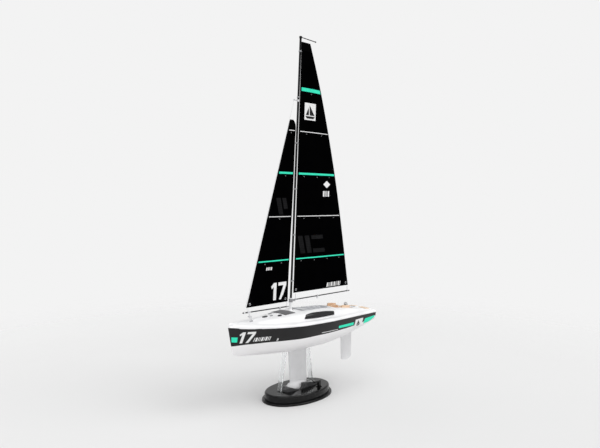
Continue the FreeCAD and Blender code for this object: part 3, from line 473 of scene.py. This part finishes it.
def clip_polygon(outline, inside, cross):
    """Part of a flat outline on one side of a line."""
    kept = []
    for index, point in enumerate(outline):
        after = outline[(index + 1) % len(outline)]
        if inside(point):
            kept.append(point)
        if inside(point) != inside(after):
            kept.append(cross(point, after))
    return kept


def gridded(outline, cell):
    """Cut a flat outline (x, z) into pieces no wider than a cell, so that it can bend."""
    pieces = [outline]
    for axis in (0, 1):
        low = min(p[axis] for p in outline)
        high = max(p[axis] for p in outline)
        count = max(1, math.ceil((high - low) / cell))
        for step in range(1, count):
            line = low + (high - low) * step / count
            cut = []
            for piece in pieces:
                for sign in (1, -1):
                    def inside(p, sign=sign, line=line, axis=axis):
                        return sign * (p[axis] - line) >= -1e-12

                    def cross(a, b, line=line, axis=axis):
                        t = (line - a[axis]) / (b[axis] - a[axis])
                        return tuple(a[i] + t * (b[i] - a[i]) for i in (0, 1))
                    part = clip_polygon(piece, inside, cross)
                    if len(part) >= 3 and abs(area_of(part)) > 1e-12:
                        cut.append(part)
            pieces = cut
    return pieces


def area_of(outline):
    total = 0.0
    for (ax, ay), (bx, by) in zip(outline, outline[1:] + outline[:1]):
        total += ax * by - bx * ay
    return total / 2


def applique(name, outlines, place, material, thick=0.06 * MM, cell=4 * MM, proud=0.02 * MM):
    """Thin closed film pieces laid on a surface: place(x, z, height) gives a point over it."""
    points, faces = [], []
    for outline in outlines:
        index, flat, tops = {}, [], []
        for piece in gridded(outline, cell):
            face = []
            for x, z in piece:
                key = (round(x, 7), round(z, 7))
                if key not in index:
                    index[key] = len(flat)
                    flat.append((x, z))
                if index[key] not in face:
                    face.append(index[key])
            if len(face) >= 3:
                tops.append(face)
        first, count = len(points), len(flat)
        points += [place(x, z, proud + thick) for x, z in flat]
        points += [place(x, z, proud) for x, z in flat]
        used = {}
        for face in tops:
            for a, b in zip(face, face[1:] + face[:1]):
                used[(a, b)] = used.get((a, b), 0) + 1
            faces.append([first + i for i in face])
            faces.append([first + count + i for i in reversed(face)])
        for a, b in used:
            if (b, a) not in used:
                faces.append([first + b, first + a, first + count + a, first + count + b])
    obj = mesh_object(name, points, faces, material, smooth=False)
    tidy = bmesh.new()
    tidy.from_mesh(obj.data)
    bmesh.ops.recalc_face_normals(tidy, faces=tidy.faces)
    tidy.to_mesh(obj.data)
    tidy.free()
    return obj


def rectangle(x0, x1, z0, z1, lean=0.0):
    """Outline in metres from millimetres; lean moves the top edge along X."""
    return [(x0 * MM, z0 * MM), (x1 * MM, z0 * MM), ((x1 + lean) * MM, z1 * MM), ((x0 + lean) * MM, z1 * MM)]


def scaled(outlines):
    """Outlines given in millimetres, in metres."""
    return [[(x * MM, z * MM) for x, z in outline] for outline in outlines]


# each glyph is made of convex parts, in heights of the line, read from left to right
ONE = [[(0.20, 0), (0.42, 0), (0.42, 1), (0.20, 1)], [(0, 0.80), (0.06, 0.66), (0.20, 0.76), (0.20, 1.0)]]
SEVEN = [[(0, 0.81), (0.64, 0.81), (0.64, 1), (0, 1)], [(0.10, 0), (0.33, 0), (0.64, 0.81), (0.41, 0.81)]]
BLOCK = [[(0, 0), (0.4, 0), (0.4, 1), (0, 1)]]
NARROW = [[(0, 0), (0.16, 0), (0.16, 1), (0, 1)]]


def lettering(glyphs, x, z, height, side, slant=0.15, gap=0.18):
    """Convex outlines for a row of glyphs; x is the left end as seen from the port side."""
    widths = [max(u for part in glyph for u, _ in part) for glyph in glyphs]
    total = sum(widths) + gap * (len(glyphs) - 1)
    outlines = []
    start = 0.0
    for glyph, width in zip(glyphs, widths):
        for part in glyph:
            outline = []
            for u, v in part:
                along = start + u + slant * (v - 0.5)
                if side < 0:
                    along = total - along
                outline.append(((x - along * height) * MM, (z + v * height) * MM))
            outlines.append(outline)
        start += width + gap
    return outlines


def small_boat(x, z, height):
    """Plain outline of a boat under two sails: mast at x, keel at z, millimetres."""
    low = z + height * 0.24
    main = [(x - height * 0.04, low), (x - height * 0.56, low), (x - height * 0.04, z + height)]
    jib = [(x + height * 0.05, low), (x + height * 0.05, z + height * 0.82), (x + height * 0.38, low)]
    hull = [(x + height * 0.42, z + height * 0.17), (x - height * 0.60, z + height * 0.17),
            (x - height * 0.42, z), (x + height * 0.26, z)]
    return scaled((main, jib, hull))


# each seam: height and width in millimetres, colour, and how many of the sails have it
SEAMS = ((431.5, 5.0, "green", 1), (372.5, 1.0, "white", 2), (313.4, 2.8, "green", 2),
         (253.6, 1.0, "white", 2), (194.0, 1.7, "green", 2))


def seam_bands(sail, name):
    """Tape along each seam, wrapped onto both faces, and a line of small print under it."""
    made = []
    for z, width, colour, sails in SEAMS:
        if not sail.low / MM + 4 < z < sail.high / MM - 4 or (sails == 1 and sail.node != "main_sail"):
            continue
        low, high = (z - width / 2) * MM, (z + width / 2) * MM
        (fore_low, aft_low), (fore_high, aft_high) = sail.span(low), sail.span(high)
        trim = 0.3 * MM
        outline = [(fore_low - trim, low), (aft_low + trim, low),
                   (aft_high + trim, high), (fore_high - trim, high)]
        for side, word in ((1, "port"), (-1, "starboard")):
            def place(x, zz, height, side=side):
                return sail.at(x, zz, side, CLOTH / 2 + height)
            made.append(applique(f"{name}_band_{z:.0f}_{word}", [outline], place, M[colour]))
            specks = []
            fore, aft = sail.span(low - 3 * MM)
            steps = max(1, int((fore - aft) / MM / 26))
            for step in range(steps):
                x = (fore - (fore - aft) * (step + 0.5) / steps) / MM
                specks += lettering([NARROW, BLOCK, NARROW, NARROW], x + 1.2, z - width / 2 - 3.2, 1.1, side)
            made.append(applique(f"{name}_print_{z:.0f}_{word}", specks, place, M["grey"], cell=9 * MM))
    return made


def edge_tapes(sail, name):
    """Folded tape along luff and leech, and layered patches at the corners."""
    made = []
    rows = sail.heights
    for side, word in ((1, "port"), (-1, "starboard")):
        def place(x, z, height, side=side):
            return sail.at(x, z, side, CLOTH / 2 + height)
        for edge, width in (("luff", 2.4 * MM), ("leech", 1.8 * MM)):
            strips = []
            for low, high in zip(rows[:-1:4], rows[4::4]):
                (f0, a0), (f1, a1) = sail.span(low), sail.span(high)
                if edge == "luff":
                    inner0, inner1 = max(f0 - width, a0), max(f1 - width, a1)
                    strips.append([(f0, low), (inner0, low), (inner1, high), (f1, high)])
                else:
                    inner0, inner1 = min(a0 + width, f0), min(a1 + width, f1)
                    strips.append([(inner0, low), (a0, low), (a1, high), (inner1, high)])
            made.append(applique(f"{name}_{edge}_tape_{word}", strips, place, M["hem"], thick=0.08 * MM))
        low = rows[0]
        fore, aft = sail.span(low)
        for layer, size in enumerate((15 * MM, 11 * MM, 7.5 * MM)):
            lift = (0.085 + 0.075 * layer) * MM
            patches = []
            for corner, way in ((fore, -1), (aft, 1)):
                above_fore, above_aft = sail.span(low + size)
                edge_x = above_fore if way < 0 else above_aft
                patches.append([(corner, low), (corner + way * size, low),
                                (corner + way * size * 0.62, low + size * 0.62), (edge_x, low + size)])
            top = rows[-1]
            (hf, ha), (bf, ba) = sail.span(top), sail.span(top - size * 0.8)
            patches.append([(hf, top), (ha, top), (ba, top - size * 0.8), (bf, top - size * 0.8)])
            made.append(applique(f"{name}_patch_{layer}_{word}", patches, place, M["hem"], proud=lift))
    return made


def grommets(sail, name):
    """Pressed metal eyes in the lower corners."""
    made = []
    low = sail.heights[0] + 4.2 * MM
    fore, aft = sail.span(low)
    for word, x in (("fore", fore - 4.2 * MM), ("aft", aft + 4.2 * MM)):
        middle = sail.offset(x, low)
        major, minor, around, tube = 1.25 * MM, 0.42 * MM, 32, 12
        points, faces = [], []
        for i in range(around):
            a = 2 * math.pi * i / around
            for j in range(tube):
                b = 2 * math.pi * j / tube
                r = major + minor * math.cos(b)
                points.append((x + r * math.cos(a), middle + 0.5 * MM * math.sin(b), low + r * math.sin(a)))
                here, there = i * tube, (i + 1) % around * tube
                faces.append((here + j, there + j, there + (j + 1) % tube, here + (j + 1) % tube))
        made.append(mesh_object(f"{name}_grommet_{word}", points, faces, M["steel"]))
    return made


def main_marks(sail):
    """Generic printed shapes on the mainsail."""
    made = []
    for side, word in ((1, "port"), (-1, "starboard")):
        def place(x, z, height, side=side):
            return sail.at(x, z, side, CLOTH / 2 + height)
        tile = [rectangle(-12.8, -35.0, 389.5, 413.5, -1.0)]
        made.append(applique(f"main_tile_{word}", tile, place, M["white"]))
        crest = small_boat(-22.5, 391.6, 19.0)
        made.append(applique(f"main_tile_mark_{word}", crest, place, M["ink"], proud=0.085 * MM))
        lozenge = scaled([((-59.2, 304.5), (-66.8, 299.2), (-59.2, 294), (-51.6, 299.2))])
        bars = lettering([BLOCK, NARROW, NARROW, BLOCK], -51.0, 281.5, 8.0, side, slant=0.05)
        made.append(applique(f"main_number_{word}", lozenge + bars, place, M["white"]))
        glyphs = [BLOCK, NARROW, NARROW, BLOCK, NARROW, BLOCK, NARROW, NARROW, BLOCK, NARROW]
        foot = lettering(glyphs, -60.0, 148.2, 6.3, side, 0.25, 0.24)
        foot.append(rectangle(-96.2, -103.8, 149.4, 151.0))
        made.append(applique(f"main_foot_row_{word}", foot, place, M["white"]))
        ghost = scaled((((0, 226), (-9, 226), (-15, 201), (-6, 201)),
                        ((-13, 226), (-22, 226), (-28, 201), (-19, 201)),
                        ((-26, 226), (-50, 226), (-51.3, 220.5), (-27.3, 220.5)),
                        ((-30, 206.5), (-54, 206.5), (-55.3, 201), (-31.3, 201))))
        made.append(applique(f"main_ghost_{word}", ghost, place, M["ghost"], thick=0.04 * MM))
    return made


def jib_marks(sail):
    """Generic printed shapes on the jib."""
    made = []
    for side, word in ((1, "port"), (-1, "starboard")):
        def place(x, z, height, side=side):
            return sail.at(x, z, side, CLOTH / 2 + height)
        number = lettering([ONE, SEVEN], 50.5, 140.5, 23.5, side, 0.06, 0.14)
        made.append(applique(f"jib_number_{word}", number, place, M["white"]))
        small = lettering([BLOCK, NARROW, BLOCK, NARROW, NARROW, BLOCK], 59.0, 182.0, 4.0, side, 0.2)
        made.append(applique(f"jib_small_row_{word}", small, place, M["white"]))
        ghost = scaled((((41, 279), (33, 279), (28, 256.5), (36, 256.5)),
                        ((30, 279), (22.5, 279), (19, 264), (26.6, 264))))
        made.append(applique(f"jib_ghost_{word}", ghost, place, M["ghost"], thick=0.04 * MM))
    return made


def build_sail(node, body, belly, marks):
    sail = Sail(node, body, belly)
    cloth = sail_cloth(sail, f"{node}_cloth")
    pieces = seam_bands(sail, node) + edge_tapes(sail, node) + grommets(sail, node) + marks(sail)
    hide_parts(node)
    for piece in [cloth] + pieces:
        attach(piece, body)


# ---------------------------------------------------------------- marks on the hull
def hull_place(tree, side):
    """Point over the hull's outer skin at (x, z), on one side."""
    def place(x, z, height):
        start = Vector((x, side * 0.2, z))
        hit = tree.ray_cast(start, Vector((0, -side, 0)))[0]
        return Vector((x, hit.y + side * height, z))
    return place


def hull_marks():
    """Green blocks, number, rows of bars and a white tile on both topsides."""
    tree = tree_of("hull_shell")
    fine = 1.5 * MM             # the hull is curved, so its films are cut finely
    lift = 0.05 * MM
    for side, word in ((1, "port"), (-1, "starboard")):
        place = hull_place(tree, side)
        blocks = (((112.6, 95.0), (112.6, 101.6), (118.9, 102.0), (118.2, 95.4)),
                  ((-42.0, 98.8), (-42.0, 95.4), (-78.7, 94.3), (-78.7, 98.3)),
                  ((-109.2, 99.1), (-105.8, 91.6), (-122.4, 92.0), (-135.0, 96.6), (-136.0, 100.2)))
        green = scaled(blocks)
        number = lettering([ONE, SEVEN], 111.3, 93.4, 14.6, side, 0.16, 0.16)
        glyphs = [NARROW, BLOCK, NARROW, NARROW, BLOCK, NARROW, BLOCK, NARROW, NARROW]
        rows = lettering(glyphs, 93.5, 94.6, 5.2, side, 0.2, 0.22)
        rows += lettering([NARROW, NARROW], 64.7, 92.6, 3.6, side, 0.2)
        line = scaled([((-6.3, 94.3), (-6.3, 95.0), (-40, 94.6), (-40, 93.9))])
        tile = scaled([((-83.7, 101.2), (-104, 101.2), (-101, 90), (-80.4, 90))])
        crest = small_boat(-90.4, 91.3, 8.8)
        films = (("green", green, "green", fine, lift), ("number", number, "white", fine, lift),
                 ("rows", rows, "white", fine, lift), ("line", line, "white", 4 * MM, lift),
                 ("tile", tile, "white", fine, lift), ("tile_mark", crest, "ink", fine, 0.13 * MM))
        for film, outlines, colour, cell, proud in films:
            piece = applique(f"hull_{film}_{word}", outlines, place, M[colour], cell=cell, proud=proud)
            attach(piece, "boat")


# ---------------------------------------------------------------- stage
def build_world():
    """Plain pale backdrop; the light it gives is dimmer near the horizon and brighter overhead."""
    world = bpy.data.worlds.new("studio")
    bpy.context.scene.world = world
    world.use_nodes = True
    tree = world.node_tree
    tree.nodes.clear()
    seen = tree.nodes.new("ShaderNodeBackground")
    seen.inputs["Color"].default_value = (0.896, 0.896, 0.896, 1)
    given = tree.nodes.new("ShaderNodeBackground")
    place = tree.nodes.new("ShaderNodeTexCoord")
    split = tree.nodes.new("ShaderNodeSeparateXYZ")
    ramp = tree.nodes.new("ShaderNodeMapRange")
    ramp.inputs["From Min"].default_value = 0.0
    ramp.inputs["To Min"].default_value = SKY_LOW
    ramp.inputs["To Max"].default_value = SKY_HIGH
    path = tree.nodes.new("ShaderNodeLightPath")
    either = tree.nodes.new("ShaderNodeMath")
    either.operation = "MAXIMUM"
    mix = tree.nodes.new("ShaderNodeMixShader")
    output = tree.nodes.new("ShaderNodeOutputWorld")
    tree.links.new(place.outputs["Generated"], split.inputs["Vector"])
    tree.links.new(split.outputs["Z"], ramp.inputs["Value"])
    tree.links.new(ramp.outputs["Result"], given.inputs["Strength"])
    tree.links.new(path.outputs["Is Camera Ray"], either.inputs[0])
    tree.links.new(path.outputs["Is Transmission Ray"], either.inputs[1])
    tree.links.new(either.outputs["Value"], mix.inputs["Fac"])
    tree.links.new(given.outputs["Background"], mix.inputs[1])
    tree.links.new(seen.outputs["Background"], mix.inputs[2])
    tree.links.new(mix.outputs["Shader"], output.inputs["Surface"])


def build_floor():
    """Pale floor round the stand, fading into the backdrop further out."""
    floor = Shader("floor_white", (0.74, 0.74, 0.74), 0.9, 0.05)
    floor.colour(floor.ramp(floor.noise(3.0, 2), [(0.2, (0.735,) * 3), (0.8, (0.745,) * 3)]))
    length = floor.node("ShaderNodeVectorMath", operation="LENGTH")
    floor.join(floor.place, length.inputs[0])
    fade = floor.node("ShaderNodeMapRange", interpolation_type="SMOOTHSTEP")
    fade.inputs["From Min"].default_value = FLOOR_NEAR
    fade.inputs["From Max"].default_value = FLOOR_FAR
    fade.inputs["To Min"].default_value = 1.0
    fade.inputs["To Max"].default_value = 0.0
    floor.join(length.outputs["Value"], fade.inputs["Value"])
    floor.join(fade.outputs["Result"], floor.bsdf.inputs["Alpha"])
    turns = [2 * math.pi * i / FLOOR_SIDES for i in range(FLOOR_SIDES)]
    points = [(FLOOR_RADIUS * math.cos(turn), FLOOR_RADIUS * math.sin(turn), 0) for turn in turns]
    mesh_object("floor", points, [tuple(range(FLOOR_SIDES))], floor.material, smooth=False)


def sun(name, direction, strength, spread):
    data = bpy.data.lights.new(name, "SUN")
    data.energy = strength
    data.angle = spread
    lamp = link(bpy.data.objects.new(name, data))
    lamp.location = Vector(direction)
    lamp.rotation_euler = Vector(direction).to_track_quat("Z", "Y").to_euler()


def build_stage():
    """White studio: a soft key from the port quarter, a fill off the port bow and one overhead."""
    build_world()
    build_floor()
    sun("key", (-0.46, 0.50, 0.80), KEY, 0.6)
    sun("fill", (0.62, 0.62, 0.40), FILL, 1.2)
    sun("top", (0.05, 0.10, 1.0), TOP, 1.4)


def place_camera():
    data = bpy.data.cameras.new("camera")
    data.lens = 35.436
    data.sensor_width = 36.0
    data.clip_start = 0.01
    camera = link(bpy.data.objects.new("camera", data))
    turn, dip = math.radians(44.5), math.radians(2.075)
    forward = Vector((-math.sin(turn) * math.cos(dip), -math.cos(turn) * math.cos(dip), -math.sin(dip)))
    camera.location = (0.5774, 0.5926, 0.2727)
    camera.rotation_euler = forward.to_track_quat("-Z", "Y").to_euler()
    bpy.context.scene.camera = camera


dress_nodes()
build_sail("main_sail", "main_rig", 1.1 * MM, main_marks)
build_sail("jib_sail", "jib_rig", 0.9 * MM, jib_marks)
hull_marks()
build_stage()
place_camera()
bpy.context.scene.view_settings.view_transform = "Standard"
